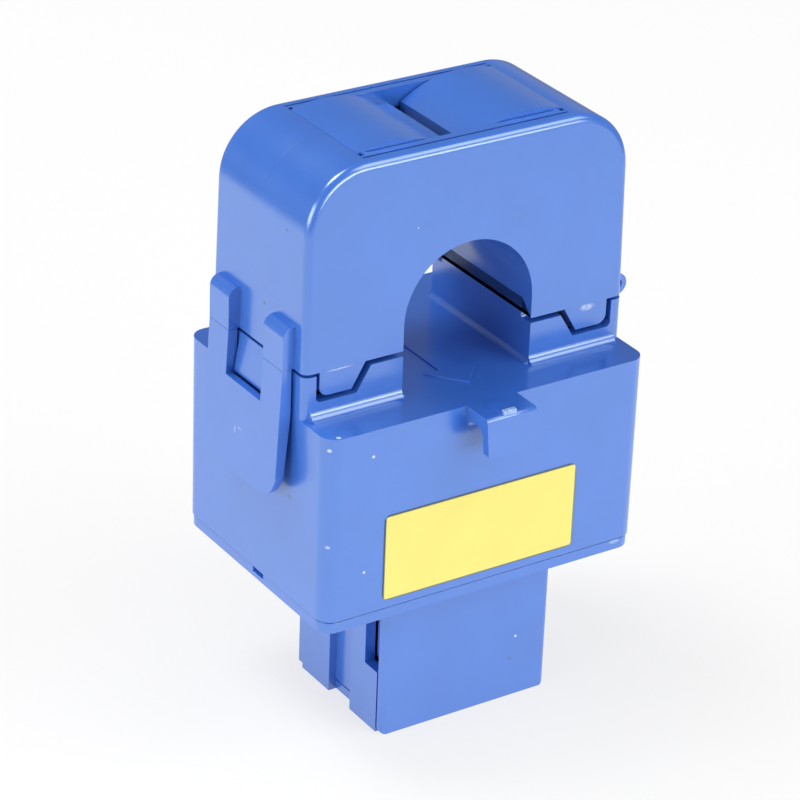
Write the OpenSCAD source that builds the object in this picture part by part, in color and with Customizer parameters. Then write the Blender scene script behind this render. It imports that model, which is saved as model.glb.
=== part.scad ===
// Split-core current transformer.
// A cap with the upper core half is hinged at the right and latched at the
// left of a lower housing, which holds the lower core half, its winding and
// a modular output socket in the foot.
// Origin: centre of the conductor aperture. X runs across, Y along the
// conductor with the front at -Y, and Z up.

/* [Conductor aperture] */
// Width of the arched conductor aperture
aperture_w = 16; // [14:0.5:19]
// Thickness of the arch lining and of the inner pillar walls
lining_t = 1.3; // [1:0.1:1.8]
// Height from the aperture floor to the joint between the halves
pillar_h = 5.3; // [4.5:0.1:7]
// Height above the joint at which the arch lining ends
lining_rise = 1.7; // [1.2:0.1:2.5]

/* [Magnetic core] */
// Width of each core leg
core_leg_w = 7; // [5.5:0.1:8.5]
// Thickness of the core yokes
core_yoke_t = 6.9; // [5.5:0.1:8.5]
// Depth of the core along the conductor
core_d = 14.4; // [12:0.1:18]
// Radius of the core's outer corners
core_corner_r = 3; // [1:0.1:4]
// Height of the pole faces above the joint
pole_rise = 0.9; // [0.5:0.1:1.1]
// Residual air gap between the pole faces
pole_gap = 0.02; // [0.01:0.01:0.08]

/* [Winding] */
// Wall of the bobbin tube and of its flanges
bobbin_t = 0.8; // [0.6:0.1:1.2]
// Thickness of the copper winding
winding_t = 2.5; // [1.5:0.1:2.8]
// Thickness of the insulating tape over the winding
tape_t = 0.3; // [0.2:0.05:0.5]
// How far the bobbin flanges stand above the tape
flange_lip = 0.5; // [0.3:0.1:0.8]
// Free height for the leads below the bobbin
lead_room = 3.6; // [2.5:0.1:5]

/* [Housing] */
// Wall thickness of both housings
wall = 1.7; // [1.3:0.1:2]
// Thickness of the aperture floor
floor_t = 1.7; // [1.3:0.1:2.5]
// Free space beside the core legs
side_room = 1.7; // [1.3:0.1:2.5]
// Free space in front of and behind the core
end_room = 0.5; // [0.4:0.05:1]
// Depth of the ledges in front of and behind the clamp body
ledge_d = 5; // [4:0.1:7]
// Radius of the lower housing's vertical corners
box_corner_r = 1.9; // [1.5:0.1:3.5]
// Radius of the clamp body's small edges
edge_r = 0.9; // [0.5:0.05:1.2]
// Radius where the pillars meet the ledge
ledge_fillet_r = 1; // [0.4:0.1:1.4]
// Radius where the aperture's sides meet its floor
floor_fillet_r = 0.6; // [0.3:0.1:1]
// Height of the bottom cover's rim
rim_h = 1.4; // [0.8:0.1:2]
// Step from the lower housing's sides to the rim's sides
rim_inset = 0.15; // [0.05:0.05:0.3]
// Height of the lip that locates the bottom cover
cover_lip_h = 1.6; // [1:0.1:2.4]

/* [Cap] */
// Draft of the cap's outer faces, in degrees
cap_draft = 0.9; // [0.5:0.1:1.5]
// Radius of the cap's large upper corners
cap_corner_r = 7; // [6:0.1:8]
// Thickness of the cap's top
top_t = 1.5; // [1.2:0.1:2]
// Gap between the cap's lower edge and the pillars
joint_gap = 0.35; // [0.25:0.05:0.5]
// Distance from the window's ends to the large corners
window_margin = 0.2; // [0.1:0.05:1]

/* [Locating tongues] */
// Height of the tongues below the joint
tongue_h = 2.9; // [2:0.1:3.3]
// Width of a tongue at the joint
tongue_w = 5.6; // [5:0.1:6.5]
// How far a tongue's inner side slants
tongue_slant = 1.7; // [1:0.1:2.2]
// Distance from the body's side to a tongue
tongue_side = 2; // [1.6:0.1:2.6]
// Radius of a tongue's lower outer corner
tongue_r = 1.1; // [0.6:0.1:1.4]
// Step from the cap's face to a tongue's face
tongue_step = 0.2; // [0.1:0.05:0.4]
// Clearance around a tongue in its notch
notch_gap = 0.5; // [0.3:0.05:0.7]

/* [Spring cover] */
// Thickness of the bowed spring tongues
leaf_t = 0.9; // [0.7:0.1:1.2]
// Radius of the bow
leaf_r = 14; // [12:0.5:18]
// Height of the bow's crown above the cap
leaf_crown = 0.6; // [0.3:0.1:1]
// Distance from the window's end to the crown
leaf_crown_in = 4; // [3:0.1:5]
// Length of the long leaf from the window's end
long_leaf_l = 11.6; // [10.5:0.1:12]
// Length of the short leaf from the window's end
short_leaf_l = 9; // [8:0.1:9.6]
// Width of the side rails
rail_w = 0.85; // [0.7:0.05:1.1]
// Height of the side rails
rail_h = 2.2; // [1.8:0.1:2.6]
// Width of the cross strip between the leaves
strip_w = 1.6; // [1.2:0.1:2.2]
// Gap between the side rails and the window's sides
rail_gap = 0.3; // [0.15:0.05:0.4]
// Clearance of the leaves between the rails
leaf_gap = 0.15; // [0.1:0.05:0.25]
// Clearance of the leaf roots at the window's ends
root_gap = 0.02; // [0.01:0.01:0.1]

/* [Hinge] */
// Distance from the body's right side to the hinge's axis
hinge_out = 0.9; // [0.8:0.05:1.1]
// Radius of the knuckles
knuckle_r = 1.25; // [1.1:0.05:1.4]
// Length of the hinge
hinge_l = 14.1; // [10:0.1:16]
// Length of the lower housing's middle knuckle
mid_knuckle_l = 6.6; // [4:0.1:8]
// Radius of the hinge pin
pin_r = 0.6; // [0.4:0.05:0.7]
// Depth of the pin's ends inside the outer knuckles
pin_recess = 0.5; // [0.1:0.1:1]
// Clearance of the pin in the outer knuckles
pin_gap = 0.05; // [0.03:0.01:0.1]
// Clearance round the knuckles
hinge_gap = 0.15; // [0.1:0.05:0.25]
// Height of the gusset below the middle knuckle
gusset_h = 2; // [1:0.1:3]

/* [Latch] */
// Thickness of the latch
latch_t = 1.35; // [1.2:0.05:1.7]
// Thickness of the press tab's lower edge
latch_tip_t = 0.9; // [0.7:0.05:1.2]
// Width of the latch
latch_w = 14.8; // [14:0.1:16]
// Width of the slot between the latch's arms
latch_slot_w = 7; // [6:0.1:8]
// Height of the arm roots above the joint
latch_root_h = 4.8; // [4:0.1:7]
// Radius of the arm roots' tops
latch_root_r = 1.2; // [0.6:0.1:1.2]
// Length of the arms below the joint
latch_arm_l = 5; // [4.6:0.1:6]
// Length of the latch below the joint
latch_l = 15.2; // [13:0.1:18]
// Radius of the press tab's lower corners
latch_tab_r = 3.2; // [2:0.1:4.5]
// Outward lean of the latch, in degrees
latch_lean = 3; // [2:0.1:4]
// Gap between the latch and the lower housing
latch_gap = 0.25; // [0.2:0.05:0.35]
// How far the catch stands out of its pillar
catch_out = 0.65; // [0.5:0.05:0.8]
// Height of the catch
catch_h = 4.4; // [3:0.1:4.5]
// Side clearance between the catch and the latch slot
catch_side_gap = 0.2; // [0.15:0.05:0.5]
// Clearance between the catch and the channel that passes it
catch_gap = 0.12; // [0.1:0.01:0.2]

/* [Front hook] */
// Width of the hook at the ledge
hook_w = 6.2; // [5:0.1:8]
// Width of the hook's tip
hook_tip_w = 5.4; // [4:0.1:6]
// How far the hook stands out
hook_out = 3.7; // [3:0.1:5]
// Height of the hook's lip
hook_h = 4.7; // [4:0.1:6]
// Thickness of the lip
hook_lip_t = 1; // [0.8:0.1:1.6]
// Thickness of the neck
hook_neck_t = 1.6; // [1.2:0.1:2.2]
// Radius of the lip's outer edges
hook_edge_r = 0.4; // [0.2:0.05:0.5]

/* [Label] */
// Width of the label
label_w = 24.2; // [20:0.1:28]
// Height of the label
label_h = 10.1; // [8:0.1:12]
// Distance from the ledge to the label's top
label_drop = 10.5; // [8:0.1:11]
// Thickness of the label
label_t = 0.12; // [0.1:0.01:0.2]

/* [Output socket] */
// Width of the socket body
socket_w = 13.2; // [12.6:0.1:14]
// Depth of the socket body
socket_d = 11.6; // [11.2:0.1:12.2]
// Height of the socket body
socket_h = 12.8; // [12:0.1:14]
// Width of the plug opening
plug_w = 9.9; // [9.7:0.1:10.4]
// Thickness of the plug opening
plug_t = 6.9; // [6.7:0.1:7.2]
// Depth of the plug opening
plug_depth = 10.5; // [9.5:0.1:11]
// Thickness of the circuit board
board_t = 1.2; // [0.8:0.1:1.6]
// Free height between the board and the bottom cover
board_room = 1.3; // [1.2:0.1:2.5]

/* [Foot] */
// Width of the foot
foot_w = 21.6; // [20.8:0.1:25]
// Depth of the foot
foot_d = 17.1; // [16.8:0.1:18]
// Distance from the housing's front to the foot's front
foot_inset = 2.4; // [1.5:0.1:3]
// Wall thickness of the foot
foot_wall = 1.3; // [1.1:0.1:1.5]
// Thickness of the foot's floor
foot_floor_t = 1.2; // [1:0.1:2]
// Thickness of the foot's front cover
front_t = 0.9; // [0.8:0.1:1.5]
// Depth of the channels in the foot's sides
channel_in = 1; // [0.6:0.1:1.1]
// Width of the channels in the foot's sides
channel_w = 4.3; // [3.5:0.1:5]
// Depth of the side windows behind the front cover
window_d = 2.65; // [2:0.05:3]
// Height of the side windows
window_h = 9; // [7:0.1:11]

/* [Hidden] */
$fn = 64;
eps = 0.01;
core_gap = 0.3;
seam = 0.18;
lining_step = 0.15;

// Core and clamp body, from the aperture outwards
ap_r = aperture_w / 2;
core_in = ap_r + lining_t + core_gap;
core_out = core_in + core_leg_w;
half_w = core_out + side_room + wall;
half_d = core_d / 2 + end_room + wall;
in_x = half_w - wall;
in_y = half_d - wall;
box_half_d = half_d + ledge_d;

// Levels of the clamp body
floor_z = -ap_r;
joint_z = floor_z + pillar_h;
pole_z = joint_z + pole_rise;
lining_z = joint_z + lining_rise;
pillar_z = joint_z - joint_gap;
core_top = core_in + core_yoke_t;

// The long leaf's tip rests on the upper core, which sets the cap's height
leaf_in_r = leaf_r - leaf_t;
tip_run = long_leaf_l - leaf_crown_in;
tip_drop = leaf_in_r - sqrt(leaf_in_r * leaf_in_r - tip_run * tip_run);
cap_z = core_top + leaf_t - leaf_crown + tip_drop + eps;
cap_h = cap_z - joint_z;
corner_x = half_w - tan(cap_draft) * (cap_h - cap_corner_r) - cap_corner_r;
win_x = corner_x - window_margin;
win_y = in_y;

// Winding and lower housing, from the aperture floor downwards
tube_y = core_d / 2 + core_gap + bobbin_t;
tube_z = core_yoke_t / 2 + core_gap + bobbin_t;
build_t = winding_t + tape_t;
flange_y = tube_y + build_t + flange_lip;
flange_z = tube_z + build_t + flange_lip;
coil_gap = 0.6;
yoke_z = floor_z - floor_t - coil_gap - flange_z;
seam_z = yoke_z - flange_z - lead_room;
cover_z = seam_z - rim_h;

// Foot, socket and board
foot_h = foot_floor_t + socket_h + board_t + board_room;
foot_z = cover_z - foot_h;
foot_y0 = -box_half_d + foot_inset;
foot_y1 = foot_y0 + foot_d;
shell_y0 = foot_y0 + front_t;
back_t = 0.9;
back_step = 0.08;
back_rise = 0.5;
socket_y = (shell_y0 + foot_y1 - foot_wall) / 2;
socket_z = foot_z + foot_floor_t;
board_z = socket_z + socket_h;
channel_back = 5.55;
channel_y0 = foot_y1 - back_t - channel_back - channel_w;
panel_t = 0.9;
rim_step = 1.15;
key_w = 6.3;
key_t = 2;
tab_w = 3.3;
tab_t = 1;

// Hinge, latch and catch
hinge_x = half_w + hinge_out;
knuckle_y = mid_knuckle_l / 2;
latch_x = half_w + latch_t;
slot_z = joint_z - latch_arm_l;
catch_top = joint_z - joint_gap;
catch_z = catch_top - catch_h;
catch_w = latch_slot_w - 2 * catch_side_gap;
catch_land = 0.4;

housing_blue = [0.27, 0.45, 0.85];
core_grey = [0.16, 0.16, 0.18];

// A rectangle with round corners, from squares and circles
module round_rect(w, d, r) {
    square([w - 2 * r, d], center = true);
    square([w, d - 2 * r], center = true);
    for (x = [-1, 1], y = [-1, 1])
        translate([x * (w / 2 - r), y * (d / 2 - r)]) circle(r);
}

// A round-cornered block between two levels
module round_block(w, d, r, z0, z1) {
    translate([0, 0, z0]) linear_extrude(z1 - z0) round_rect(w, d, r);
}

// Extrude an X-Z profile along Y between two places
module along_y(y0, y1) {
    translate([0, y1, 0]) rotate([90, 0, 0]) linear_extrude(y1 - y0) children();
}

// Extrude a Y-Z profile along X between two places
module along_x(x0, x1) {
    translate([x0, 0, 0]) rotate([90, 0, 90]) linear_extrude(x1 - x0) children();
}

// The same shape on both sides of a plane
module both_sides(axis) {
    children();
    mirror(axis) children();
}

// A concave fillet's section, with its corner at the origin
module fillet_section(r) {
    difference() {
        translate([-eps, -eps]) square(r + eps);
        translate([r, r]) circle(r);
    }
}

// --- Cap ---

// A ring that rounds a large corner and its small edges
module corner_ring() {
    rotate([90, 0, 0])
        rotate_extrude($fn = 96) translate([cap_corner_r - edge_r, 0]) circle(edge_r, $fn = 32);
}

// Drafted outer form with large upper corners and small edges all round
module cap_form() {
    ring_y = half_d - tan(cap_draft) * (cap_h - cap_corner_r) - edge_r;
    hull() {
        round_block(2 * half_w, 2 * half_d, edge_r, joint_z, joint_z + eps, $fn = 32);
        for (x = [-1, 1], y = [-1, 1])
            translate([x * corner_x, y * ring_y, cap_z - cap_corner_r])
                rotate([y * cap_draft, 0, 0]) corner_ring();
    }
}

// The arched opening's section, with straight sides down to a level
module arch_section(r, z0) {
    intersection() {
        circle(r);
        translate([-r, 0]) square([2 * r, r]);
    }
    translate([-r, z0]) square([2 * r, eps - z0]);
}

// Space for the core inside the cap
module cap_cavity() {
    in_r = cap_corner_r - wall;
    along_y(-in_y, in_y) {
        translate([-in_x, joint_z - 1])
            square([2 * in_x, cap_z - cap_corner_r - joint_z + 1]);
        translate([-corner_x, joint_z]) square([2 * corner_x, cap_h - top_t]);
        for (s = [-1, 1])
            intersection() {
                translate([s * corner_x, cap_z - cap_corner_r]) circle(in_r);
                translate([-half_w, 0]) square([2 * half_w, cap_z - top_t]);
            }
    }
}

// A trapezoid tongue's X-Z section on the right side
module tongue_section() {
    x1 = half_w - tongue_side;
    difference() {
        polygon([
            [x1 - tongue_w, joint_z + eps], [x1 - tongue_w + tongue_slant, joint_z - tongue_h],
            [x1, joint_z - tongue_h], [x1, joint_z + eps]
        ]);
        translate([x1 - tongue_r, joint_z - tongue_h + tongue_r]) rotate(-90)
            difference() {
                square(tongue_r + eps);
                circle(tongue_r);
            }
    }
}

// The notch in a pillar's wall that takes a tongue
module notch_section() {
    x1 = half_w - tongue_side + notch_gap;
    x0 = half_w - tongue_side - tongue_w - notch_gap;
    z0 = joint_z - tongue_h - notch_gap;
    inner_z = joint_z - notch_gap - 0.1;
    r = tongue_r / 2;
    polygon([
        [ap_r - 1, inner_z], [x0, inner_z], [x0 + tongue_slant, z0],
        [x1 - r, z0], [x1, z0 + r], [x1, joint_z + 1], [ap_r - 1, joint_z + 1]
    ]);
    translate([x1 - r, z0 + r]) circle(r);
}

// The arm roots on the cap's side, with round tops
module latch_roots() {
    arm_w = (latch_w - latch_slot_w) / 2;
    arm_y = (latch_w - arm_w) / 2;
    for (s = [-1, 1])
        along_y(s * arm_y - arm_w / 2, s * arm_y + arm_w / 2) {
            translate([half_w - wall / 2, joint_z])
                square([latch_t + wall / 2, latch_root_h - latch_root_r]);
            translate([half_w - wall / 2, joint_z])
                square([latch_t + wall / 2 - latch_root_r, latch_root_h]);
            translate([latch_x - latch_root_r, joint_z + latch_root_h - latch_root_r])
                circle(latch_root_r);
        }
}

// A cylinder on the hinge's axis between two places along Y
module hinge_cylinder(r, y0, y1) {
    translate([hinge_x, y1, joint_z]) rotate([90, 0, 0]) cylinder(h = y1 - y0, r = r);
}

module cap_shell() {
    shelf_w = rail_gap + rail_w / 2;
    shelf_z = core_top + 0.05;
    color(housing_blue)
        difference() {
            union() {
                difference() {
                    cap_form();
                    cap_cavity();
                    along_y(-half_d - 1, half_d + 1) arch_section(ap_r, joint_z - 1);
                    translate([0, 0, cap_z - 2 * top_t])
                        linear_extrude(3 * top_t) square([2 * win_x, 2 * win_y], center = true);
                }
                // Lining of the arch
                along_y(-in_y - eps, in_y + eps)
                    difference() {
                        arch_section(ap_r + lining_t, lining_z);
                        arch_section(ap_r, lining_z - 1);
                    }
                // Locating tongues, front and back
                both_sides([0, 1, 0])
                    along_y(in_y, half_d - tongue_step)
                        both_sides([1, 0]) tongue_section();
                // Shelf that carries the spring cover
                both_sides([0, 1, 0])
                    translate([-corner_x, in_y - shelf_w, shelf_z])
                        cube([2 * corner_x, shelf_w + eps, cap_z - rail_h - shelf_z]);
                mirror([1, 0, 0]) latch_roots();
                // Outer knuckles of the hinge, with their webs
                both_sides([0, 1, 0]) {
                    hinge_cylinder(knuckle_r, knuckle_y, hinge_l / 2);
                    translate([half_w - wall / 2, knuckle_y, joint_z])
                        cube([hinge_out + wall / 2, hinge_l / 2 - knuckle_y, knuckle_r]);
                }
            }
            // Room for the middle knuckle, and the pin's bore
            hinge_cylinder(knuckle_r + hinge_gap, -knuckle_y - hinge_gap, knuckle_y + hinge_gap);
            hinge_cylinder(pin_r + pin_gap, -hinge_l, hinge_l);
        }
}

// --- Core ---

// One half of the core, opening downwards, with its pole faces at z0
module core_half(z0, yoke_in, yoke_out) {
    along_y(-core_d / 2, core_d / 2)
        difference() {
            union() {
                translate([-core_out, z0]) square([2 * core_out, yoke_out - core_corner_r - z0]);
                translate([-core_out + core_corner_r, z0])
                    square([2 * (core_out - core_corner_r), yoke_out - z0]);
                for (s = [-1, 1])
                    translate([s * (core_out - core_corner_r), yoke_out - core_corner_r])
                        circle(core_corner_r);
            }
            translate([-core_in, z0 - 1]) square([2 * core_in, yoke_in - z0 + 1]);
        }
}

module upper_core() {
    color(core_grey) core_half(pole_z + pole_gap / 2, core_in, core_top);
}

module lower_core() {
    color(core_grey)
        mirror([0, 0, 1])
            core_half(-pole_z + pole_gap / 2, -yoke_z - core_yoke_t / 2, -yoke_z + core_yoke_t / 2);
}

// --- Spring cover ---

// A leaf's X-Z section on the right side, from the window's end inwards
module leaf_section(l) {
    centre_x = win_x - leaf_crown_in;
    centre_z = cap_z + leaf_crown - leaf_r;
    intersection() {
        translate([centre_x, centre_z])
            difference() {
                circle(leaf_r, $fn = 128);
                circle(leaf_in_r, $fn = 128);
            }
        translate([win_x - l, cap_z - rail_h - 2])
            square([l - root_gap, rail_h + leaf_crown + 3]);
    }
}

module spring_cover() {
    frame_x = win_x - root_gap;
    frame_y = win_y - rail_gap;
    leaf_y = frame_y - rail_w - leaf_gap;
    frame_z = cap_z - rail_h;
    root_l = 1.1;
    corner = 0.5;
    strip_t = 0.8;
    strip_x = win_x - long_leaf_l - 1.8;
    color(housing_blue) {
        difference() {
            union() {
                // Side rails
                both_sides([0, 1, 0])
                    translate([-frame_x, frame_y - rail_w, frame_z]) cube([2 * frame_x, rail_w, rail_h]);
                // Root blocks of the leaves
                both_sides([1, 0, 0])
                    translate([frame_x - root_l, -frame_y, frame_z])
                        cube([root_l, 2 * frame_y, rail_h]);
            }
            // Small corner notches between the rails and the roots
            for (x = [-1, 1], y = [-1, 1])
                translate([x * frame_x, y * (frame_y - rail_w), frame_z + rail_h / 2])
                    cube([2 * corner, 2 * corner, rail_h + 1], center = true);
        }
        // Cross strip between the leaves
        translate([strip_x - strip_w, -frame_y, frame_z]) cube([strip_w, 2 * frame_y, strip_t]);
        along_y(-leaf_y, leaf_y) leaf_section(long_leaf_l);
        along_y(-leaf_y, leaf_y) mirror([1, 0]) leaf_section(short_leaf_l);
    }
}

// --- Latch ---

// The latch's Y-Z outline: two arms, a slot and the press tab
module latch_outline() {
    h = latch_w / 2;
    z1 = joint_z - latch_l;
    difference() {
        union() {
            translate([-h, z1 + latch_tab_r]) square([latch_w, latch_l - latch_tab_r]);
            translate([-h + latch_tab_r, z1]) square([latch_w - 2 * latch_tab_r, latch_l]);
            for (s = [-1, 1])
                translate([s * (h - latch_tab_r), z1 + latch_tab_r]) circle(latch_tab_r);
        }
        translate([-latch_slot_w / 2, slot_z]) square([latch_slot_w, latch_arm_l + 1]);
    }
}

// The latch's X-Z section: it leans outwards and thins towards its tip
module latch_section() {
    slope = tan(latch_lean);
    root_z = joint_z - 0.03;
    clear_z = joint_z - latch_gap / slope;
    thin_z = min(slot_z, clear_z) - 1;
    tip_z = joint_z - latch_l;
    tip_x = latch_x + slope * latch_l;
    polygon([
        [half_w + latch_gap, root_z], [latch_x, root_z], [tip_x, tip_z],
        [tip_x - latch_tip_t, tip_z], [half_w + slope * (joint_z - thin_z), thin_z],
        [half_w + latch_gap, clear_z]
    ]);
}

// A channel inside the latch lets the catch pass when the cap swings open
module latch_left() {
    color(housing_blue)
        mirror([1, 0, 0])
            difference() {
                intersection() {
                    along_x(half_w, latch_x + latch_l) latch_outline();
                    along_y(-latch_w, latch_w) latch_section();
                }
                translate([half_w - 1, -latch_slot_w / 2, joint_z - latch_l - 1])
                    cube([catch_out + catch_gap + 1, latch_slot_w, latch_l + 2]);
            }
}

// --- Hinge pin ---

module hinge_pin() {
    color([0.3, 0.45, 0.8])
        hinge_cylinder(pin_r, -hinge_l / 2 + pin_recess, hinge_l / 2 - pin_recess);
}

// --- Lower housing ---

// The pillars that carry the lower pole faces
module pillars() {
    difference() {
        union() {
            round_block(2 * half_w, 2 * half_d, edge_r, floor_z - 1, pillar_z);
            // Inner walls stand a little higher, behind the cap's end walls
            translate([-core_in, -in_y + lining_step, floor_z])
                cube([2 * core_in, 2 * (in_y - lining_step), pillar_h + 0.1]);
        }
        // Aperture between the pillars
        translate([-ap_r, -half_d - 1, floor_z]) cube([2 * ap_r, 2 * half_d + 2, pillar_h + 1]);
        // Room for the core legs
        both_sides([1, 0, 0])
            translate([ap_r + lining_t, -in_y, floor_z - 2])
                cube([in_x - ap_r - lining_t, 2 * in_y, pillar_h + 4]);
        both_sides([0, 1, 0])
            along_y(in_y - eps, half_d + 1) both_sides([1, 0]) notch_section();
    }
}

// Concave fillets at the feet of the pillars
module pillar_fillets() {
    l = half_w - edge_r - ap_r;
    both_sides([1, 0, 0])
        both_sides([0, 1, 0])
            translate([0, half_d, floor_z])
                along_x(ap_r, ap_r + l) fillet_section(ledge_fillet_r);
    both_sides([1, 0, 0])
        translate([ap_r, 0, floor_z]) mirror([1, 0, 0])
            along_y(-half_d, half_d) fillet_section(floor_fillet_r);
}

// Catch on a pillar's outer side, over which the latch is hooked
module catch() {
    along_y(-catch_w / 2, catch_w / 2)
        polygon([
            [half_w - eps, catch_top], [half_w, catch_top],
            [half_w + catch_out, catch_z + catch_land],
            [half_w + catch_out, catch_z], [half_w - eps, catch_z]
        ]);
}

// Hook on the upper front edge
module hook() {
    root_r = 0.9;
    tip_x = hook_tip_w / 2;
    translate([0, -box_half_d, floor_z]) {
        intersection() {
            along_x(-hook_w / 2, hook_w / 2) {
                translate([-hook_out + hook_edge_r, -hook_neck_t])
                    square([hook_out - hook_edge_r + eps, hook_neck_t]);
                translate([-hook_out, -hook_h]) square([hook_lip_t, hook_h - hook_edge_r]);
                translate([-hook_out + hook_edge_r, -hook_edge_r]) circle(hook_edge_r);
                translate([-hook_out + hook_lip_t, -hook_neck_t])
                    mirror([0, 1]) fillet_section(root_r);
                translate([0, -hook_neck_t]) mirror([1, 0]) mirror([0, 1]) fillet_section(root_r);
            }
            // Tapered front outline with round lower corners
            along_y(-hook_out - 1, 1) {
                polygon([
                    [-hook_w / 2, 1], [-hook_w / 2, 0],
                    [-tip_x, hook_edge_r - hook_h], [-tip_x + hook_edge_r, -hook_h],
                    [tip_x - hook_edge_r, -hook_h], [tip_x, hook_edge_r - hook_h],
                    [hook_w / 2, 0], [hook_w / 2, 1]
                ]);
                for (s = [-1, 1])
                    translate([s * (tip_x - hook_edge_r), hook_edge_r - hook_h]) circle(hook_edge_r);
            }
        }
        // Raised rib on the hook's neck
        translate([-hook_w / 5, -hook_out + hook_edge_r, -eps])
            cube([hook_w / 3, hook_out - 2 * hook_edge_r, 0.15 + eps]);
    }
}

// The hinge's middle knuckle, on a gusset down the pillar's side
module middle_knuckle() {
    hinge_cylinder(knuckle_r, -knuckle_y, knuckle_y);
    along_y(-knuckle_y, knuckle_y)
        polygon([
            [half_w - wall / 2, pillar_z], [hinge_x, joint_z], [hinge_x, joint_z - knuckle_r],
            [half_w, joint_z - knuckle_r - gusset_h], [half_w - wall / 2, joint_z - knuckle_r - gusset_h]
        ]);
}

module lower_housing() {
    color(housing_blue)
        difference() {
            union() {
                round_block(2 * half_w, 2 * box_half_d, box_corner_r, seam_z, floor_z);
                pillars();
                pillar_fillets();
                mirror([1, 0, 0]) catch();
                hook();
                middle_knuckle();
            }
            round_block(2 * in_x, 2 * (box_half_d - wall), box_corner_r - wall / 2,
                seam_z - 1, floor_z - floor_t);
            both_sides([1, 0, 0])
                translate([ap_r + lining_t, -in_y, floor_z - floor_t - 1])
                    cube([in_x - ap_r - lining_t, 2 * in_y, floor_t + 2]);
            // Room for the cap's knuckles, and the pin's bore
            both_sides([0, 1, 0])
                hinge_cylinder(knuckle_r + hinge_gap, knuckle_y, hinge_l / 2 + hinge_gap);
            hinge_cylinder(pin_r, -hinge_l, hinge_l);
        }
}

// --- Winding ---

// A rectangular ring around the lower yoke, from x0 to x1
module yoke_ring(y0, z0, y1, z1, r, x0, x1) {
    along_x(x0, x1)
        translate([0, yoke_z])
            difference() {
                round_rect(2 * y1, 2 * z1, r);
                square([2 * y0, 2 * z0], center = true);
            }
}

module bobbin() {
    l = core_in - core_gap;
    y0 = tube_y - bobbin_t;
    z0 = tube_z - bobbin_t;
    color([0.92, 0.9, 0.84]) {
        yoke_ring(y0, z0, tube_y, tube_z, 0.4, -l, l);
        both_sides([1, 0, 0])
            yoke_ring(y0, z0, flange_y, flange_z, 1, l - bobbin_t, l);
    }
}

module winding() {
    l = core_in - core_gap - bobbin_t;
    color([0.72, 0.36, 0.18])
        yoke_ring(tube_y, tube_z, tube_y + winding_t, tube_z + winding_t, 1.2, -l, l);
}

module winding_tape() {
    l = core_in - core_gap - bobbin_t;
    color([0.86, 0.72, 0.2])
        along_x(-l, l)
            translate([0, yoke_z])
                difference() {
                    round_rect(2 * (tube_y + build_t), 2 * (tube_z + build_t), 1.2 + tape_t);
                    round_rect(2 * (tube_y + winding_t), 2 * (tube_z + winding_t), 1.2);
                }
}

// A winding end that runs straight down to the board
module lead(side) {
    top = yoke_z - tube_z - build_t;
    color([0.72, 0.36, 0.18])
        translate([side * 6, socket_y, board_z + board_t]) cylinder(h = top - board_z - board_t, r = 0.4);
}

module lead_left() {
    lead(-1);
}

module lead_right() {
    lead(1);
}

// --- Foot ---

// Outline of the foot's shell, with a channel in each side
module foot_outline(grow) {
    w = foot_w / 2 - grow;
    y_front = shell_y0 + seam;
    y_back = foot_y1 - back_t;
    difference() {
        translate([-w, y_front]) square([2 * w, y_back - grow * back_t / foot_wall - y_front]);
        for (s = [-1, 1])
            translate([s * (foot_w / 2), channel_y0 + channel_w / 2])
                square([2 * (channel_in + (grow > 0 ? panel_t : 0)),
                    channel_w + (grow > 0 ? 2 * panel_t : 0)], center = true);
    }
}

// Plug opening with its key and tab steps
module plug_section() {
    translate([-plug_w / 2, -plug_t / 2]) square([plug_w, plug_t]);
    translate([-key_w / 2, plug_t / 2 - eps]) square([key_w, key_t]);
    translate([-tab_w / 2, plug_t / 2 + key_t - 2 * eps]) square([tab_w, tab_t]);
}

module foot_shell() {
    difference() {
        union() {
            translate([0, 0, foot_z]) linear_extrude(foot_h + eps) foot_outline(0);
            // Set-back strip along the rear
            translate([-foot_w / 2 + back_step, foot_y1 - back_t - 1, foot_z + back_rise])
                cube([foot_w - 2 * back_step, back_t + 1, foot_h - back_rise + eps]);
        }
        // Chamber for the socket and board, open to the front and the housing
        intersection() {
            translate([0, 0, socket_z]) linear_extrude(foot_h + rim_h + 1) foot_outline(foot_wall);
            translate([-foot_w, shell_y0 - 1, foot_z])
                cube([2 * foot_w, foot_y1 - foot_wall - shell_y0 + 1, foot_h + rim_h + 1]);
        }
        // Mouth of the socket
        translate([0, socket_y - 0.5, foot_z - 1]) linear_extrude(foot_floor_t + 2)
            offset_plug();
        // Side windows behind the front cover
        translate([-foot_w, shell_y0 - 1, cover_z - window_h])
            cube([2 * foot_w, window_d + 1, window_h + eps]);
        // Shallow step above the foot's lower rim, in the channels
        for (s = [-1, 1])
            translate([s * (foot_w / 2 - channel_in), channel_y0 + channel_w / 2, foot_z + rim_step])
                cube([0.3, channel_w, 0.2], center = true);
    }
}

// The mouth in the foot's floor, a little wider than the plug opening
module offset_plug() {
    translate([-plug_w / 2 - 0.3, -plug_t / 2 - 0.3]) square([plug_w + 0.6, plug_t + 0.6]);
    translate([-key_w / 2 - 0.3, plug_t / 2 - eps]) square([key_w + 0.6, key_t + 0.3]);
    translate([-tab_w / 2 - 0.3, plug_t / 2 + key_t - 2 * eps]) square([tab_w + 0.6, tab_t + 0.3]);
}

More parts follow.
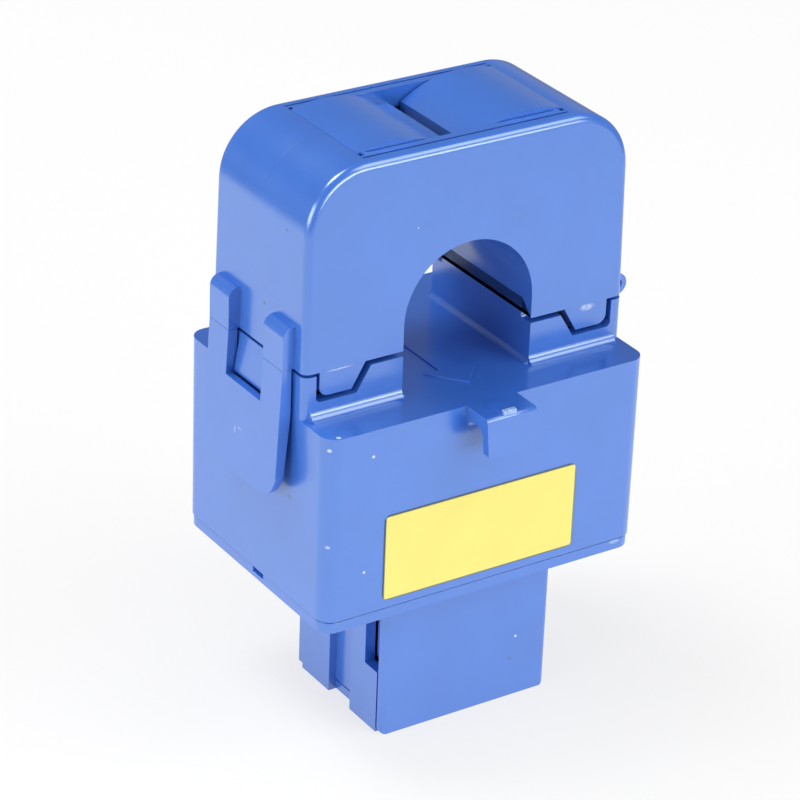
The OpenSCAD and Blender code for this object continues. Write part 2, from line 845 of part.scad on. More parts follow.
module bottom_cover() {
    lip_w = in_x - 0.1;
    lip_d = box_half_d - wall - 0.1;
    pry_y = 1.9;
    pry_w = 2.2;
    pry_h = 0.8;
    pry_d = 0.5;
    color(housing_blue) {
        difference() {
            union() {
                round_block(2 * (half_w - rim_inset), 2 * (box_half_d - rim_inset),
                    box_corner_r - rim_inset, cover_z, seam_z - seam);
                round_block(2 * lip_w, 2 * lip_d, box_corner_r - wall / 2, cover_z, seam_z + cover_lip_h);
            }
            // Room inside the locating lip
            round_block(2 * (lip_w - 1), 2 * (lip_d - 1), 0.6, seam_z - seam, seam_z + cover_lip_h + 1);
            // Way from the housing into the foot
            translate([0, 0, cover_z - 1]) linear_extrude(rim_h + 3) foot_outline(foot_wall);
            // Notch for a screwdriver in the left edge
            translate([-half_w - 1, -pry_y, seam_z - pry_h])
                cube([1 + rim_inset + pry_d, pry_w, pry_h + 1]);
        }
        foot_shell();
    }
}

// Front cover of the foot, with a prong behind each side window
module foot_front_cover() {
    r = 0.8;
    z1 = cover_z - seam;
    prong_x = foot_w / 2 - foot_wall - 0.1;
    color(housing_blue) {
        intersection() {
            translate([0, 0, foot_z])
                linear_extrude(z1 - foot_z) {
                    translate([-foot_w / 2, foot_y0 + r]) square([foot_w, front_t - r]);
                    translate([-foot_w / 2 + r, foot_y0]) square([foot_w - 2 * r, front_t]);
                    for (s = [-1, 1])
                        intersection() {
                            translate([s * (foot_w / 2 - r), foot_y0 + r]) circle(r);
                            translate([-foot_w, foot_y0]) square([2 * foot_w, front_t]);
                        }
                }
            along_y(foot_y0 - 1, foot_y0 + front_t + 1) {
                translate([-foot_w / 2, foot_z + r]) square([foot_w, foot_h]);
                translate([-foot_w / 2 + r, foot_z]) square([foot_w - 2 * r, foot_h]);
                for (s = [-1, 1])
                    translate([s * (foot_w / 2 - r), foot_z + r]) circle(r);
            }
        }
        both_sides([1, 0, 0])
            translate([prong_x - 0.9, foot_y0 + front_t - eps, cover_z - window_h + 0.5])
                cube([0.9, window_d - 0.2, window_h - 1.5]);
    }
}

// --- Socket and board ---

module socket_body() {
    color([0.13, 0.13, 0.14])
        translate([0, socket_y, socket_z])
            difference() {
                translate([-socket_w / 2, -socket_d / 2, 0]) cube([socket_w, socket_d, socket_h]);
                translate([0, -0.5, -1]) linear_extrude(plug_depth + 1) plug_section();
            }
}

// A spring contact that slants along the socket's front wall
module contact(i) {
    pitch = 1.02;
    x = (i - 2.5) * pitch;
    y = socket_y - 0.5 - plug_t / 2;
    slant = 9;
    l = plug_depth - 1.5;
    color([0.85, 0.7, 0.35])
        translate([x, y + 0.22, socket_z + plug_depth + eps])
            rotate([180 + slant, 0, 0]) cylinder(h = l, r = 0.2, $fn = 24);
}

module contact_1() {
    contact(1);
}

module contact_2() {
    contact(2);
}

module contact_3() {
    contact(3);
}

module contact_4() {
    contact(4);
}

module circuit_board() {
    w = 16;
    d = foot_d - front_t - foot_wall - 2;
    color([0.1, 0.42, 0.2])
        translate([-w / 2, socket_y - d / 2, board_z]) cube([w, d, board_t]);
}

module surge_diode() {
    r = 1.2;
    l = 5.2;
    color([0.1, 0.1, 0.1])
        translate([-l / 2, socket_y + 3, board_z + board_t + r])
            rotate([0, 90, 0]) cylinder(h = l, r = r);
}

module label() {
    color([0.99, 0.96, 0.42])
        translate([-0.7, 0, floor_z - label_drop - label_h / 2])
            along_y(-box_half_d - label_t, -box_half_d) round_rect(label_w, label_h, 0.7);
}

lower_housing();
bottom_cover();
foot_front_cover();
label();
lower_core();
bobbin();
winding();
winding_tape();
lead_left();
lead_right();
circuit_board();
surge_diode();
socket_body();
contact_1();
contact_2();
contact_3();
contact_4();
cap_shell();
upper_core();
spring_cover();
hinge_pin();
latch_left();
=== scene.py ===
"""The look of a split-core current transformer: blue moulded housings, a bare yellow label and the
core, winding and socket inside. Places are in millimetres in the part's own frame, times MM."""
import math

import bmesh
import bpy
from mathutils import Matrix, Vector


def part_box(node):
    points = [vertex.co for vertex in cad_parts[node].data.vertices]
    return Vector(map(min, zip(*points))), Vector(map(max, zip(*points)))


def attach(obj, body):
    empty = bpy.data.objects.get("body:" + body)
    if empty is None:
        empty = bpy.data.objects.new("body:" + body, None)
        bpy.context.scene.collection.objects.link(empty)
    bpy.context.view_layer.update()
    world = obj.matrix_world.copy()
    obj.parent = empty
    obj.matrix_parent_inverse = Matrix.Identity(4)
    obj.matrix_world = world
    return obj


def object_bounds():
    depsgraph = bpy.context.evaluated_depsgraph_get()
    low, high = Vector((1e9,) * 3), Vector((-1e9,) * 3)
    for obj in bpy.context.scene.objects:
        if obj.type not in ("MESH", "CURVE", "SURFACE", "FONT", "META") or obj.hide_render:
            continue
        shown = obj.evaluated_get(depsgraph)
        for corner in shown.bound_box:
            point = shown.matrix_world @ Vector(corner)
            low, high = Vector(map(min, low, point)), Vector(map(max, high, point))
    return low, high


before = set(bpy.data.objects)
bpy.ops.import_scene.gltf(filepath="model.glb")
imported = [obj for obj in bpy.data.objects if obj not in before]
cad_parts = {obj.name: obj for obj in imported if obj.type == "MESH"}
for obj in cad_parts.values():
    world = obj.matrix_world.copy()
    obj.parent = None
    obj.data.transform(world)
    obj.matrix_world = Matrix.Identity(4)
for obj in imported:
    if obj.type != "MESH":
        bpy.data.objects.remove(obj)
cad_low, cad_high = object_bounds()
MM = 0.001

# --- Places that the pieces and marks are set from, in millimetres ---


def box_mm(node):
    """A node's lowest and highest corners at rest, in millimetres."""
    low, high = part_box(node)
    return low / MM, high / MM


LABEL_LOW, LABEL_HIGH = box_mm("label")
BOX_FRONT_Y = LABEL_HIGH.y
CAP_FRONT_Y = box_mm("cap_shell")[0].y
FOOT_FRONT_Y = box_mm("foot_front_cover")[0].y
HOOK_TIP_Y = box_mm("lower_housing")[0].y
LEDGE_Z = -8.0

# --- Camera ---

CAMERA_PLACE = Vector((-186.8, -275.9, 158.4)) * MM
CAMERA_RIGHT = Vector((0.84289, -0.53714, 0.03190))
CAMERA_UP = Vector((0.22592, 0.40707, 0.88502))
LENS = 156.68
SHIFT_X = 0.0251
SHIFT_Y = 0.0155


def make_camera():
    """A long lens at the left, looking down on the front."""
    data = bpy.data.cameras.new("camera")
    data.lens = LENS
    data.sensor_width = 36
    data.shift_x = SHIFT_X
    data.shift_y = SHIFT_Y
    data.clip_start = 0.01
    camera = bpy.data.objects.new("camera", data)
    right = CAMERA_RIGHT.normalized()
    up = (CAMERA_UP - right * CAMERA_UP.dot(right)).normalized()
    axes = Matrix((right, up, right.cross(up))).transposed()
    camera.matrix_world = Matrix.Translation(CAMERA_PLACE) @ axes.to_4x4()
    bpy.context.collection.objects.link(camera)
    bpy.context.scene.camera = camera


make_camera()

# --- Node helpers ---


def feed(tree, socket, value):
    """Links a socket to an input, or writes a plain value into it."""
    if isinstance(value, bpy.types.NodeSocket):
        tree.links.new(value, socket)
    else:
        socket.default_value = value


def calc(tree, operation, *values, clamp=False):
    """One Math node's result."""
    node = tree.nodes.new("ShaderNodeMath")
    node.operation = operation
    node.use_clamp = clamp
    for socket, value in zip(node.inputs, values):
        feed(tree, socket, value)
    return node.outputs[0]


def vector_calc(tree, operation, *values, output="Vector"):
    """One Vector Math node's result."""
    node = tree.nodes.new("ShaderNodeVectorMath")
    node.operation = operation
    for socket, value in zip(node.inputs, values):
        feed(tree, socket, value)
    return node.outputs[output]


def ramp(tree, value, low, high, out_low=0.0, out_high=1.0):
    """A smooth step from out_low to out_high."""
    node = tree.nodes.new("ShaderNodeMapRange")
    node.interpolation_type = "SMOOTHSTEP"
    for name, number in (("From Min", low), ("From Max", high), ("To Min", out_low),
                         ("To Max", out_high)):
        feed(tree, node.inputs[name], number)
    feed(tree, node.inputs["Value"], value)
    return node.outputs["Result"]


def noise(tree, scale, detail=2.0, roughness=0.5, stretch=None):
    """Noise in the piece's own coordinates, 0 to 1."""
    place = tree.nodes.new("ShaderNodeTexCoord").outputs["Object"]
    if stretch:
        place = vector_calc(tree, "MULTIPLY", place, stretch)
    node = tree.nodes.new("ShaderNodeTexNoise")
    feed(tree, node.inputs["Vector"], place)
    feed(tree, node.inputs["Scale"], scale)
    node.inputs["Detail"].default_value = detail
    node.inputs["Roughness"].default_value = roughness
    return node.outputs["Fac"]


def mix_colour(tree, factor, first, second):
    """Two colours mixed by a factor."""
    node = tree.nodes.new("ShaderNodeMix")
    node.data_type = "RGBA"
    feed(tree, node.inputs["Factor"], factor)
    for name, colour in (("A", first), ("B", second)):
        socket = next(s for s in node.inputs if s.name == name and s.type == "RGBA")
        feed(tree, socket, colour)
    return next(s for s in node.outputs if s.type == "RGBA")


def start_group(name, inputs, outputs):
    """An empty shader node group with named inputs and outputs."""
    tree = bpy.data.node_groups.new(name, "ShaderNodeTree")
    for socket, kind, value in inputs:
        tree.interface.new_socket(socket, in_out="INPUT", socket_type=kind).default_value = value
    for socket, kind in outputs:
        tree.interface.new_socket(socket, in_out="OUTPUT", socket_type=kind)
    return tree, tree.nodes.new("NodeGroupInput").outputs, tree.nodes.new("NodeGroupOutput").inputs


def use_group(tree, group, **values):
    """The outputs of a group placed in a material, with its own values."""
    node = tree.nodes.new("ShaderNodeGroup")
    node.node_tree = group
    for name, value in values.items():
        feed(tree, node.inputs[name.replace("_", " ").title()], value)
    return node.outputs


# --- Effects that several finishes share ---

FLOAT = "NodeSocketFloat"
VECTOR = "NodeSocketVector"


def moulding_grain_group():
    """The skin of a moulded or ground surface: fine grain over slow waves, and a slow change of tone."""
    tree, given, result = start_group(
        "moulding grain", [("Grain Scale", FLOAT, 6000.0), ("Wave Scale", FLOAT, 300.0)],
        [("Height", FLOAT), ("Tone", FLOAT), ("Polish", FLOAT)])
    fine = noise(tree, given["Grain Scale"], 3.0, 0.6)
    wave = noise(tree, given["Wave Scale"], 2.0)
    height = calc(tree, "MULTIPLY_ADD", wave, 0.35, calc(tree, "MULTIPLY", fine, 0.65))
    tree.links.new(height, result["Height"])
    tree.links.new(ramp(tree, wave, 0.25, 0.75), result["Tone"])
    patch = noise(tree, calc(tree, "MULTIPLY", given["Wave Scale"], 0.45), 3.0, 0.6)
    tree.links.new(ramp(tree, patch, 0.3, 0.7), result["Polish"])
    return tree


def edge_wear_group():
    """A mask along convex and concave edges, broken up as handling leaves it."""
    tree, given, result = start_group(
        "edge wear", [("Reach", FLOAT, 0.3 * MM), ("Amount", FLOAT, 0.5)], [("Mask", FLOAT)])
    bevel = tree.nodes.new("ShaderNodeBevel")
    bevel.samples = 6
    feed(tree, bevel.inputs["Radius"], given["Reach"])
    face = tree.nodes.new("ShaderNodeNewGeometry").outputs["Normal"]
    bend = calc(tree, "SUBTRACT", 1.0,
                vector_calc(tree, "DOT_PRODUCT", bevel.outputs["Normal"], face, output="Value"))
    broken = ramp(tree, noise(tree, 900.0, 4.0, 0.7), 0.35, 0.65, 0.25, 1.0)
    mask = calc(tree, "MULTIPLY", ramp(tree, bend, 0.01, 0.16), broken)
    tree.links.new(calc(tree, "MULTIPLY", mask, given["Amount"], clamp=True), result["Mask"])
    return tree


def surface_mark_group():
    """A mask for one speck, scuff, witness line, painted highlight or painted shade at a place on the
    surface.
    """
    tree, given, result = start_group(
        "surface mark",
        [("Place", VECTOR, (0, 0, 0)), ("Reach", VECTOR, (MM, MM, MM)), ("Breakup", FLOAT, 0.0)],
        [("Mask", FLOAT)])
    here = tree.nodes.new("ShaderNodeTexCoord").outputs["Object"]
    apart = vector_calc(tree, "DIVIDE", vector_calc(tree, "SUBTRACT", here, given["Place"]),
                        given["Reach"])
    inside = ramp(tree, vector_calc(tree, "LENGTH", apart, output="Value"), 0.6, 1.0, 1.0, 0.0)
    streaks = ramp(tree, noise(tree, 4200.0, 3.0, 0.7), 0.46, 0.56)
    kept = calc(tree, "SUBTRACT", 1.0,
                calc(tree, "MULTIPLY", given["Breakup"], calc(tree, "SUBTRACT", 1.0, streaks)))
    tree.links.new(calc(tree, "MULTIPLY", inside, kept, clamp=True), result["Mask"])
    return tree


def fine_bands_group():
    """Rounded ridges side by side, for wound wire and wrapped film, with a mask of the grooves between
    them for painted shade.
    """
    tree, given, result = start_group(
        "fine bands", [("Bands Per Metre", FLOAT, 4000.0), ("Along", VECTOR, (1, 0, 0))],
        [("Height", FLOAT), ("Groove Shade", FLOAT)])
    here = tree.nodes.new("ShaderNodeTexCoord").outputs["Object"]
    along = vector_calc(tree, "DOT_PRODUCT", here, given["Along"], output="Value")
    sway = calc(tree, "MULTIPLY", calc(tree, "SUBTRACT", noise(tree, 160.0), 0.5), 0.6 * MM)
    turns = calc(tree, "MULTIPLY", calc(tree, "ADD", along, sway), given["Bands Per Metre"])
    part = calc(tree, "FRACT", turns)
    away = calc(tree, "ABSOLUTE", calc(tree, "SUBTRACT", calc(tree, "MULTIPLY", part, 2.0), 1.0))
    height = calc(tree, "SQRT", calc(tree, "SUBTRACT", 1.0, calc(tree, "POWER", away, 2.0)))
    tree.links.new(height, result["Height"])
    tree.links.new(ramp(tree, away, 0.75, 1.0), result["Groove Shade"])
    return tree


MOULDING_GRAIN = moulding_grain_group()
EDGE_WEAR = edge_wear_group()
SURFACE_MARK = surface_mark_group()
FINE_BANDS = fine_bands_group()

# --- Finishes ---

# Each mark is a place and a reach in millimetres, a tint, a strength and how broken up it is.
PALE = (0.62, 0.72, 0.92, 1)
DARK = (0.012, 0.03, 0.13, 1)
WITNESS = (0.02, 0.09, 0.42, 1)


def rgba(colour):
    """A colour with full alpha."""
    return (*colour, 1)


def scaled(colour, share):
    """A lighter or darker colour."""
    return rgba([channel * share for channel in colour])


def finish(name, colour, roughness, *, tone=0.06, polish=0.08, grain=(6000.0, 300.0), depth=0.01,
           wear=(0.3, 0.3), worn=None, marks=(), bands=None, metallic=0.0, coat=0.0, coat_roughness=0.2,
           level=0.5, ior=1.5, gloss_tint=(1, 1, 1)):
    """A finish with tone, grain, roughness and edge wear from nodes, and any marks of its own."""
    material = bpy.data.materials.new(name)
    material.use_nodes = True
    tree = material.node_tree
    shader = tree.nodes["Principled BSDF"]
    skin = use_group(tree, MOULDING_GRAIN, grain_scale=grain[0], wave_scale=grain[1])
    edge = use_group(tree, EDGE_WEAR, reach=wear[0] * MM, amount=wear[1])["Mask"]
    paint = mix_colour(tree, skin["Tone"], scaled(colour, 1 - tone), scaled(colour, 1 + tone))
    height = skin["Height"]
    if bands:
        wrap = use_group(tree, FINE_BANDS, bands_per_metre=bands[0], along=bands[1])
        # Painted shade: the grooves between turns and wraps darkened.
        paint = mix_colour(tree, wrap["Groove Shade"], paint, scaled(colour, 0.35))
        height = calc(tree, "MULTIPLY_ADD", wrap["Height"], 4.0, height)
    paint = mix_colour(tree, edge, paint, worn or scaled(colour, 1.5))
    gloss = calc(tree, "MULTIPLY_ADD", skin["Polish"], polish, roughness - polish / 2)
    for place, reach, tint, strength, breakup in marks:
        mask = use_group(tree, SURFACE_MARK, place=Vector(place) * MM, reach=Vector(reach) * MM,
                         breakup=breakup)["Mask"]
        mask = calc(tree, "MULTIPLY", mask, strength)
        paint = mix_colour(tree, mask, paint, tint)
        gloss = calc(tree, "MULTIPLY_ADD", mask, 0.25, gloss)
    tree.links.new(paint, shader.inputs["Base Color"])
    tree.links.new(gloss, shader.inputs["Roughness"])
    bump = tree.nodes.new("ShaderNodeBump")
    bump.inputs["Strength"].default_value = 0.5
    bump.inputs["Distance"].default_value = depth * MM
    tree.links.new(height, bump.inputs["Height"])
    tree.links.new(bump.outputs["Normal"], shader.inputs["Normal"])
    for socket, value in (("Metallic", metallic), ("Coat Weight", coat),
                          ("Coat Roughness", coat_roughness), ("Specular IOR Level", level),
                          ("IOR", ior), ("Specular Tint", rgba(gloss_tint))):
        shader.inputs[socket].default_value = value
    return material


BLUE = (0.036, 0.150, 0.60)


def blue_plastic(name, marks=()):
    """The satin blue moulding of the housings, a little paler along its edges."""
    return finish(name, BLUE, 0.24, tone=0.03, polish=0.06, grain=(5200.0, 170.0), depth=0.004,
                  wear=(0.25, 0.12), worn=(0.08, 0.22, 0.72, 1), marks=marks, level=1.0, ior=1.7,
                  coat=0.35, coat_roughness=0.15, gloss_tint=(0.85, 1.0, 1.0))


HOUSING_MARKS = [
    ((-18.5, -13.9, LEDGE_Z), (0.3, 0.3, 0.3), PALE, 0.9, 0.0),
    ((-14.5, BOX_FRONT_Y, -11.0), (0.22, 0.3, 0.2), PALE, 0.9, 0.0),
    ((-15.2, BOX_FRONT_Y, -24.5), (0.2, 0.3, 0.2), PALE, 0.8, 0.0),
    ((-19.5, BOX_FRONT_Y + 0.4, -20.6), (0.35, 0.5, 0.25), PALE, 0.6, 0.3),
    ((-19.6, BOX_FRONT_Y + 0.4, -9.3), (0.35, 0.5, 0.3), PALE, 0.8, 0.0),
    # Painted shade on the box's left face behind the lever's lower front corner.
    ((-20.0, -7.2, -17.7), (0.3, 0.25, 0.25), DARK, 0.7, 0.0),
]
CAP_MARKS = [
    ((-6.6, CAP_FRONT_Y, 10.9), (0.2, 0.3, 0.2), PALE, 0.8, 0.0),
    ((6.7, CAP_FRONT_Y, 9.6), (0.2, 0.3, 0.2), DARK, 0.8, 0.0),
    ((-19.8, -5.1, 11.9), (0.4, 0.2, 0.2), DARK, 0.7, 0.0),
    ((-20.0, -1.3, 2.2), (0.4, 0.2, 0.2), DARK, 0.7, 0.0),
    ((15.4, CAP_FRONT_Y, -3.2), (1.2, 0.6, 0.5), PALE, 0.75, 0.75),
    # Painted highlight along the cap's lower front edge above the left tongue.
    ((-15.6, CAP_FRONT_Y, -2.9), (2.2, 0.5, 0.12), PALE, 0.7, 0.3),
    ((-17.0, 0.0, 16.5), (4.5, 0.09, 4.5), WITNESS, 0.8, 0.2),
]
COVER_MARKS = [((17.4, -14.2, -30.0), (0.8, 0.6, 0.3), PALE, 0.5, 0.6)]
FOOT_MARKS = [
    ((6.5, FOOT_FRONT_Y, -40.0), (0.2, 0.3, 0.2), PALE, 0.8, 0.0),
    ((5.9, FOOT_FRONT_Y, -42.7), (0.2, 0.3, 0.2), DARK, 0.8, 0.0),
]
LATCH_MARKS = [
    ((-21.9, 1.0, -13.0), (0.8, 0.13, 0.6), PALE, 0.35, 0.2),
    ((-21.9, 0.1, -12.55), (0.8, 0.55, 0.12), PALE, 0.35, 0.2),
]


# Width in millimetres of the painted shadow band along the label's edge.
EDGE_SHADE_WIDTH = 0.16


def label_film():
    """Yellow film with faint fibres, and a thin dark band of painted shadow along its edge."""
    material = finish("label film", (0.80, 0.71, 0.18), 0.42, tone=0.015, polish=0.1,
                      grain=(3800.0, 220.0), depth=0.004, wear=(0.1, 0.0), level=0.5)
    tree = material.node_tree
    shader = tree.nodes["Principled BSDF"]
    paint = shader.inputs["Base Color"].links[0].from_socket
    here = tree.nodes.new("ShaderNodeTexCoord").outputs["Object"]
    middle = (LABEL_LOW + LABEL_HIGH) / 2 * MM
    half = (LABEL_HIGH - LABEL_LOW) / 2 * MM
    apart = vector_calc(tree, "ABSOLUTE", vector_calc(tree, "SUBTRACT", here, middle))
    parts = tree.nodes.new("ShaderNodeSeparateXYZ")
    tree.links.new(apart, parts.inputs[0])
    band = EDGE_SHADE_WIDTH * MM
    side = ramp(tree, parts.outputs["X"], half.x - band, half.x - band / 2)
    end = ramp(tree, parts.outputs["Z"], half.z - band, half.z - band / 2)
    edge_shade = calc(tree, "MAXIMUM", side, end)
    # Painted shadow: the film darkened in a thin band along its edge.
    tree.links.new(mix_colour(tree, edge_shade, paint, (0.16, 0.15, 0.07, 1)), shader.inputs["Base Color"])
    return material


FINISHES = {
    "lower_housing": blue_plastic("housing plastic", HOUSING_MARKS),
    "cap_shell": blue_plastic("cap plastic", CAP_MARKS),
    "bottom_cover": blue_plastic("cover plastic", COVER_MARKS),
    "foot_front_cover": blue_plastic("foot plastic", FOOT_MARKS),
    "latch_left": blue_plastic("latch plastic", LATCH_MARKS),
    "label": label_film(),
}
CLEAN_BLUE = blue_plastic("clean plastic")
TORN_BLUE = finish("torn gate plastic", (0.30, 0.45, 0.80), 0.6, tone=0.3, polish=0.3,
                   grain=(7000.0, 2600.0), depth=0.12, wear=(0.15, 0.6), worn=PALE)
FERRITE = finish("ground core", (0.045, 0.045, 0.05), 0.5, tone=0.25, polish=0.2,
                 grain=(9000.0, 700.0), depth=0.02, wear=(0.2, 0.5), worn=(0.16, 0.16, 0.17, 1))
BOBBIN = finish("bobbin nylon", (0.78, 0.74, 0.62), 0.45, tone=0.05, wear=(0.2, 0.2))
WIRE = finish("enamelled wire", (0.62, 0.26, 0.1), 0.3, tone=0.12, metallic=0.85, depth=0.05,
              bands=(4200.0, (1, 0, 0)), wear=(0.2, 0.2))
LEAD_WIRE = finish("lead wire", (0.62, 0.26, 0.1), 0.3, tone=0.1, metallic=0.85, wear=(0.1, 0.2))
TAPE = finish("wrapping tape", (0.72, 0.5, 0.08), 0.3, tone=0.08, coat=0.4, depth=0.03,
              bands=(320.0, (1, 0.12, 0)), wear=(0.2, 0.2))
BOARD = finish("solder mask", (0.02, 0.13, 0.045), 0.35, tone=0.12, grain=(3000.0, 900.0),
               depth=0.02, coat=0.3, wear=(0.15, 0.4), worn=(0.45, 0.42, 0.28, 1))
BLACK = finish("black resin", (0.022, 0.022, 0.025), 0.42, tone=0.2, grain=(7000.0, 400.0),
               wear=(0.2, 0.35), worn=(0.07, 0.07, 0.075, 1))
GOLD = finish("contact plating", (0.85, 0.6, 0.22), 0.25, tone=0.08, metallic=1.0,
              wear=(0.1, 0.25), worn=(0.7, 0.66, 0.56, 1))

for name in ("spring_cover", "hinge_pin"):
    FINISHES[name] = CLEAN_BLUE
for name in ("upper_core", "lower_core"):
    FINISHES[name] = FERRITE
for name in ("lead_left", "lead_right"):
    FINISHES[name] = LEAD_WIRE
for name in ("surge_diode", "socket_body"):
    FINISHES[name] = BLACK
for number in range(1, 5):
    FINISHES[f"contact_{number}"] = GOLD
FINISHES.update(bobbin=BOBBIN, winding=WIRE, winding_tape=TAPE, circuit_board=BOARD)

# --- Edges and shading of the moulded parts ---

SMOOTH_ANGLE = math.radians(38)


def smooth_by_angle_group():
    """A modifier group that shades smooth where faces meet at less than the smooth angle."""
    tree = bpy.data.node_groups.new("shade smooth by angle", "GeometryNodeTree")
    tree.interface.new_socket("Geometry", in_out="INPUT", socket_type="NodeSocketGeometry")
    tree.interface.new_socket("Geometry", in_out="OUTPUT", socket_type="NodeSocketGeometry")
    entry = tree.nodes.new("NodeGroupInput")
    leave = tree.nodes.new("NodeGroupOutput")
    faces = tree.nodes.new("GeometryNodeSetShadeSmooth")
    edges = tree.nodes.new("GeometryNodeSetShadeSmooth")
    edges.domain = "EDGE"
    edges.inputs["Shade Smooth"].default_value = False
    angle = tree.nodes.new("GeometryNodeInputMeshEdgeAngle")
    sharp = tree.nodes.new("FunctionNodeCompare")
    sharp.operation = "GREATER_THAN"
    sharp.inputs["B"].default_value = SMOOTH_ANGLE
    tree.links.new(entry.outputs[0], faces.inputs["Geometry"])
    tree.links.new(faces.outputs["Geometry"], edges.inputs["Geometry"])
    tree.links.new(angle.outputs["Unsigned Angle"], sharp.inputs["A"])
    tree.links.new(sharp.outputs["Result"], edges.inputs["Selection"])
    tree.links.new(edges.outputs["Geometry"], leave.inputs[0])
    return tree


SMOOTH_BY_ANGLE = smooth_by_angle_group()


def soften(piece, width):
    """Joins the faces' corners, rounds the edges by a small width in millimetres, and shades them."""
    weld = piece.modifiers.new("join corners", "WELD")
    weld.merge_threshold = 0.0005 * MM
    flat = piece.modifiers.new("whole faces", "DECIMATE")
    flat.decimate_type = "DISSOLVE"
    flat.angle_limit = math.radians(0.1)
    if width:
        edge = piece.modifiers.new("round edges", "BEVEL")
        edge.width = width * MM
        edge.segments = 2
        edge.limit_method = "ANGLE"
        edge.angle_limit = math.radians(40)
        edge.use_clamp_overlap = True
    shade = piece.modifiers.new("shade", "NODES")
    shade.node_group = SMOOTH_BY_ANGLE
    weighted = piece.modifiers.new("even faces", "WEIGHTED_NORMAL")
    weighted.keep_sharp = True


EDGE_WIDTHS = {"lower_housing": 0.1, "cap_shell": 0.1, "bottom_cover": 0.1, "foot_front_cover": 0.1,
               "latch_left": 0.04, "spring_cover": 0.08, "upper_core": 0.1, "lower_core": 0.1,
               "bobbin": 0.08, "circuit_board": 0.05, "socket_body": 0.06}

for name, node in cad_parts.items():
    node.data.materials.clear()
    node.data.materials.append(FINISHES[name])
    soften(node, EDGE_WIDTHS.get(name, 0.0))

# --- Pieces that are too thin for the solids ---


def prism(name, outline, z0, z1, material, body, edge=0.0):
    """A flat piece from its outline, standing between two heights, in millimetres."""
    mesh = bmesh.new()
    low = [mesh.verts.new(Vector((x, y, z0)) * MM) for x, y in outline]
    high = [mesh.verts.new(Vector((x, y, z1)) * MM) for x, y in outline]
    mesh.faces.new(reversed(low))
    mesh.faces.new(high)
    for here, there in zip(range(len(outline)), [*range(1, len(outline)), 0]):
        mesh.faces.new((low[here], low[there], high[there], high[here]))
    bmesh.ops.recalc_face_normals(mesh, faces=mesh.faces)
    data = bpy.data.meshes.new(name)
    mesh.to_mesh(data)
    mesh.free()
    data.materials.append(material)
    piece = bpy.data.objects.new(name, data)
    bpy.context.collection.objects.link(piece)
    soften(piece, edge)
    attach(piece, body)
    return piece


ARROW_TIP_Y = -10.2
ARROW_NECK_Y = -6.3
ARROW_TAIL_Y = 0.5
ARROW_HALF_W = 1.4
ARROW_HEAD_HALF_W = 3.35
ARROW_H = 0.16
SUNK = 0.1
THIN_EDGE = 0.05
STUB_EDGE = 0.08


def make_flow_arrow():
    """The raised arrow on the floor of the opening, which points out of the front."""
    outline = [(-ARROW_HALF_W, ARROW_TAIL_Y), (-ARROW_HALF_W, ARROW_NECK_Y),
               (-ARROW_HEAD_HALF_W, ARROW_NECK_Y), (0, ARROW_TIP_Y),
               (ARROW_HEAD_HALF_W, ARROW_NECK_Y), (ARROW_HALF_W, ARROW_NECK_Y),
               (ARROW_HALF_W, ARROW_TAIL_Y)]
    prism("flow_arrow", outline, LEDGE_Z - SUNK, LEDGE_Z + ARROW_H, CLEAN_BLUE, "base", THIN_EDGE)


def block_outline(x0, x1, y0, y1):
    """A rectangle's corners in order."""
    return [(x0, y0), (x1, y0), (x1, y1), (x0, y1)]


RIB_X = (-1.15, 0.65)
RIB_Y = (HOOK_TIP_Y + 0.12, HOOK_TIP_Y + 2.7)
RIB_H = 0.26
STUB_X = (-0.95, 0.6)
STUB_Y = (HOOK_TIP_Y + 0.06, HOOK_TIP_Y + 0.65)
STUB_H = 0.42


def make_hook_rib():
    """The low rib on top of the hook, and the torn stub of the moulding gate at its front end."""
    prism("hook_rib", block_outline(*RIB_X, *RIB_Y), LEDGE_Z - SUNK, LEDGE_Z + RIB_H,
          CLEAN_BLUE, "base", THIN_EDGE)
    prism("gate_stub", block_outline(*STUB_X, *STUB_Y), LEDGE_Z - SUNK, LEDGE_Z + STUB_H,
          TORN_BLUE, "base", STUB_EDGE)


make_flow_arrow()
make_hook_rib()

# --- Stage ---

STUDIO_STRENGTH = 0.45
FLOOR_GLOW = 0.7
FLOOR_WHITE = 0.82
# The white table fades out between these distances, for all but the camera's rays.
TABLE_EDGE = (0.16, 0.30)
BEYOND_TABLE = 0.25


def backdrop_rays(tree):
    """One for the rays that see the white background: from the camera, or by gloss or glass."""
    path = tree.nodes.new("ShaderNodeLightPath").outputs
    seen = calc(tree, "ADD", path["Is Camera Ray"], path["Is Glossy Ray"])
    return calc(tree, "ADD", seen, path["Is Transmission Ray"], clamp=True)


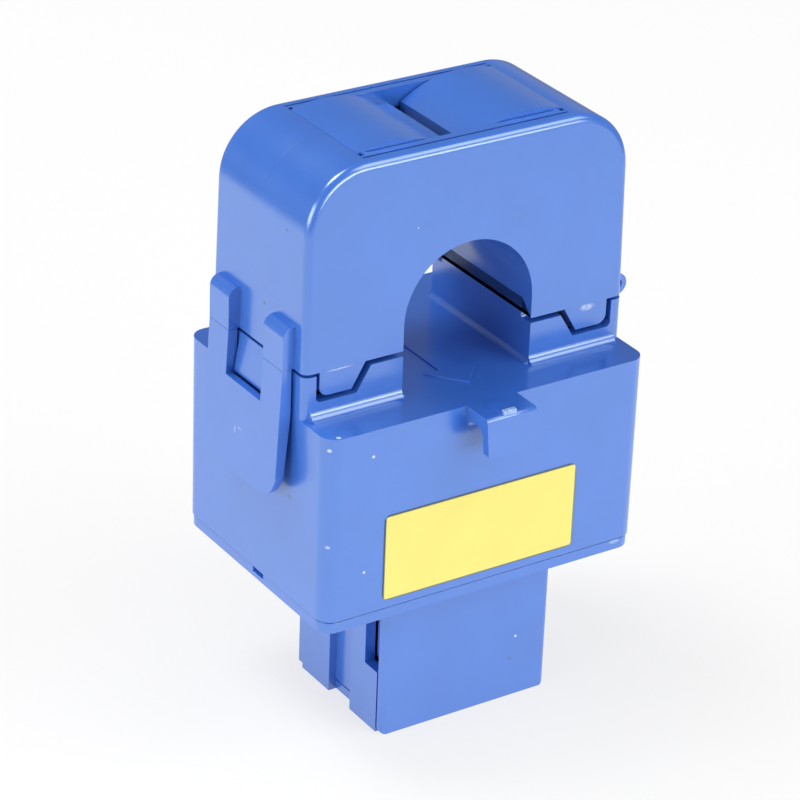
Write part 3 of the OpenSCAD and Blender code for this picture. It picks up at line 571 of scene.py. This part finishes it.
def make_floor():
    """A white floor that keeps a soft shadow."""
    bpy.ops.mesh.primitive_plane_add(size=6, location=(0, 0, cad_low.z))
    floor = bpy.context.object
    floor.name = "floor"
    material = bpy.data.materials.new("white floor")
    material.use_nodes = True
    tree = material.node_tree
    shader = tree.nodes["Principled BSDF"]
    shader.inputs["Roughness"].default_value = 0.9
    shader.inputs["Specular IOR Level"].default_value = 0.1
    here = vector_calc(tree, "LENGTH", tree.nodes.new("ShaderNodeTexCoord").outputs["Object"],
                       output="Value")
    table = ramp(tree, here, *TABLE_EDGE, 1.0, BEYOND_TABLE)
    camera = tree.nodes.new("ShaderNodeLightPath").outputs["Is Camera Ray"]
    level = calc(tree, "MAXIMUM", camera, table)
    shade = tree.nodes.new("ShaderNodeCombineColor")
    for socket in shade.inputs:
        feed(tree, socket, calc(tree, "MULTIPLY", level, FLOOR_WHITE))
    tree.links.new(shade.outputs[0], shader.inputs["Base Color"])
    glow = tree.nodes.new("ShaderNodeEmission")
    tree.links.new(level, glow.inputs["Strength"])
    blend = tree.nodes.new("ShaderNodeMixShader")
    feed(tree, blend.inputs[0], calc(tree, "MULTIPLY", backdrop_rays(tree), FLOOR_GLOW))
    tree.links.new(shader.outputs[0], blend.inputs[1])
    tree.links.new(glow.outputs[0], blend.inputs[2])
    tree.links.new(blend.outputs[0], tree.nodes["Material Output"].inputs["Surface"])
    floor.data.materials.append(material)


def make_world():
    """White at eye level and dim overhead for what is seen, and an even soft light."""
    world = bpy.data.worlds.new("studio")
    bpy.context.scene.world = world
    world.use_nodes = True
    tree = world.node_tree
    light = tree.nodes["Background"]
    light.inputs["Color"].default_value = (1, 1, 1, 1)
    way = tree.nodes.new("ShaderNodeTexCoord").outputs["Generated"]
    parts = tree.nodes.new("ShaderNodeSeparateXYZ")
    tree.links.new(way, parts.inputs[0])
    camera = tree.nodes.new("ShaderNodeLightPath").outputs["Is Camera Ray"]
    dim = ramp(tree, parts.outputs["Z"], 0.1, 0.4, 0.3, 0.17)
    white = calc(tree, "MAXIMUM", camera, dim)
    change = calc(tree, "MULTIPLY", backdrop_rays(tree), calc(tree, "SUBTRACT", white,
                                                              STUDIO_STRENGTH))
    tree.links.new(calc(tree, "ADD", change, STUDIO_STRENGTH), light.inputs["Strength"])


def make_softbox(name, way, distance, size, power):
    """A rectangular soft lamp, in a direction from the part and aimed at it."""
    data = bpy.data.lights.new(name, "AREA")
    data.shape = "RECTANGLE"
    data.size, data.size_y = size
    data.energy = power
    lamp = bpy.data.objects.new(name, data)
    lamp.location = Vector(way).normalized() * distance
    lamp.rotation_mode = "QUATERNION"
    lamp.rotation_quaternion = Vector(way).to_track_quat("Z", "Y")
    bpy.context.collection.objects.link(lamp)


make_floor()
make_world()
make_softbox("key softbox", (0.45, -0.5, 0.74), 0.9, (0.5, 0.5), 2.4)
make_softbox("front softbox", (0.25, -1.0, 0.15), 0.9, (0.7, 0.35), 4.2)
make_softbox("left softbox", (-0.95, 0.0, 0.2), 0.8, (0.6, 0.4), 3.2)
make_softbox("top softbox", (-0.3, 0.35, 0.9), 0.9, (0.4, 0.4), 4.2)
bpy.context.scene.view_settings.view_transform = "Standard"
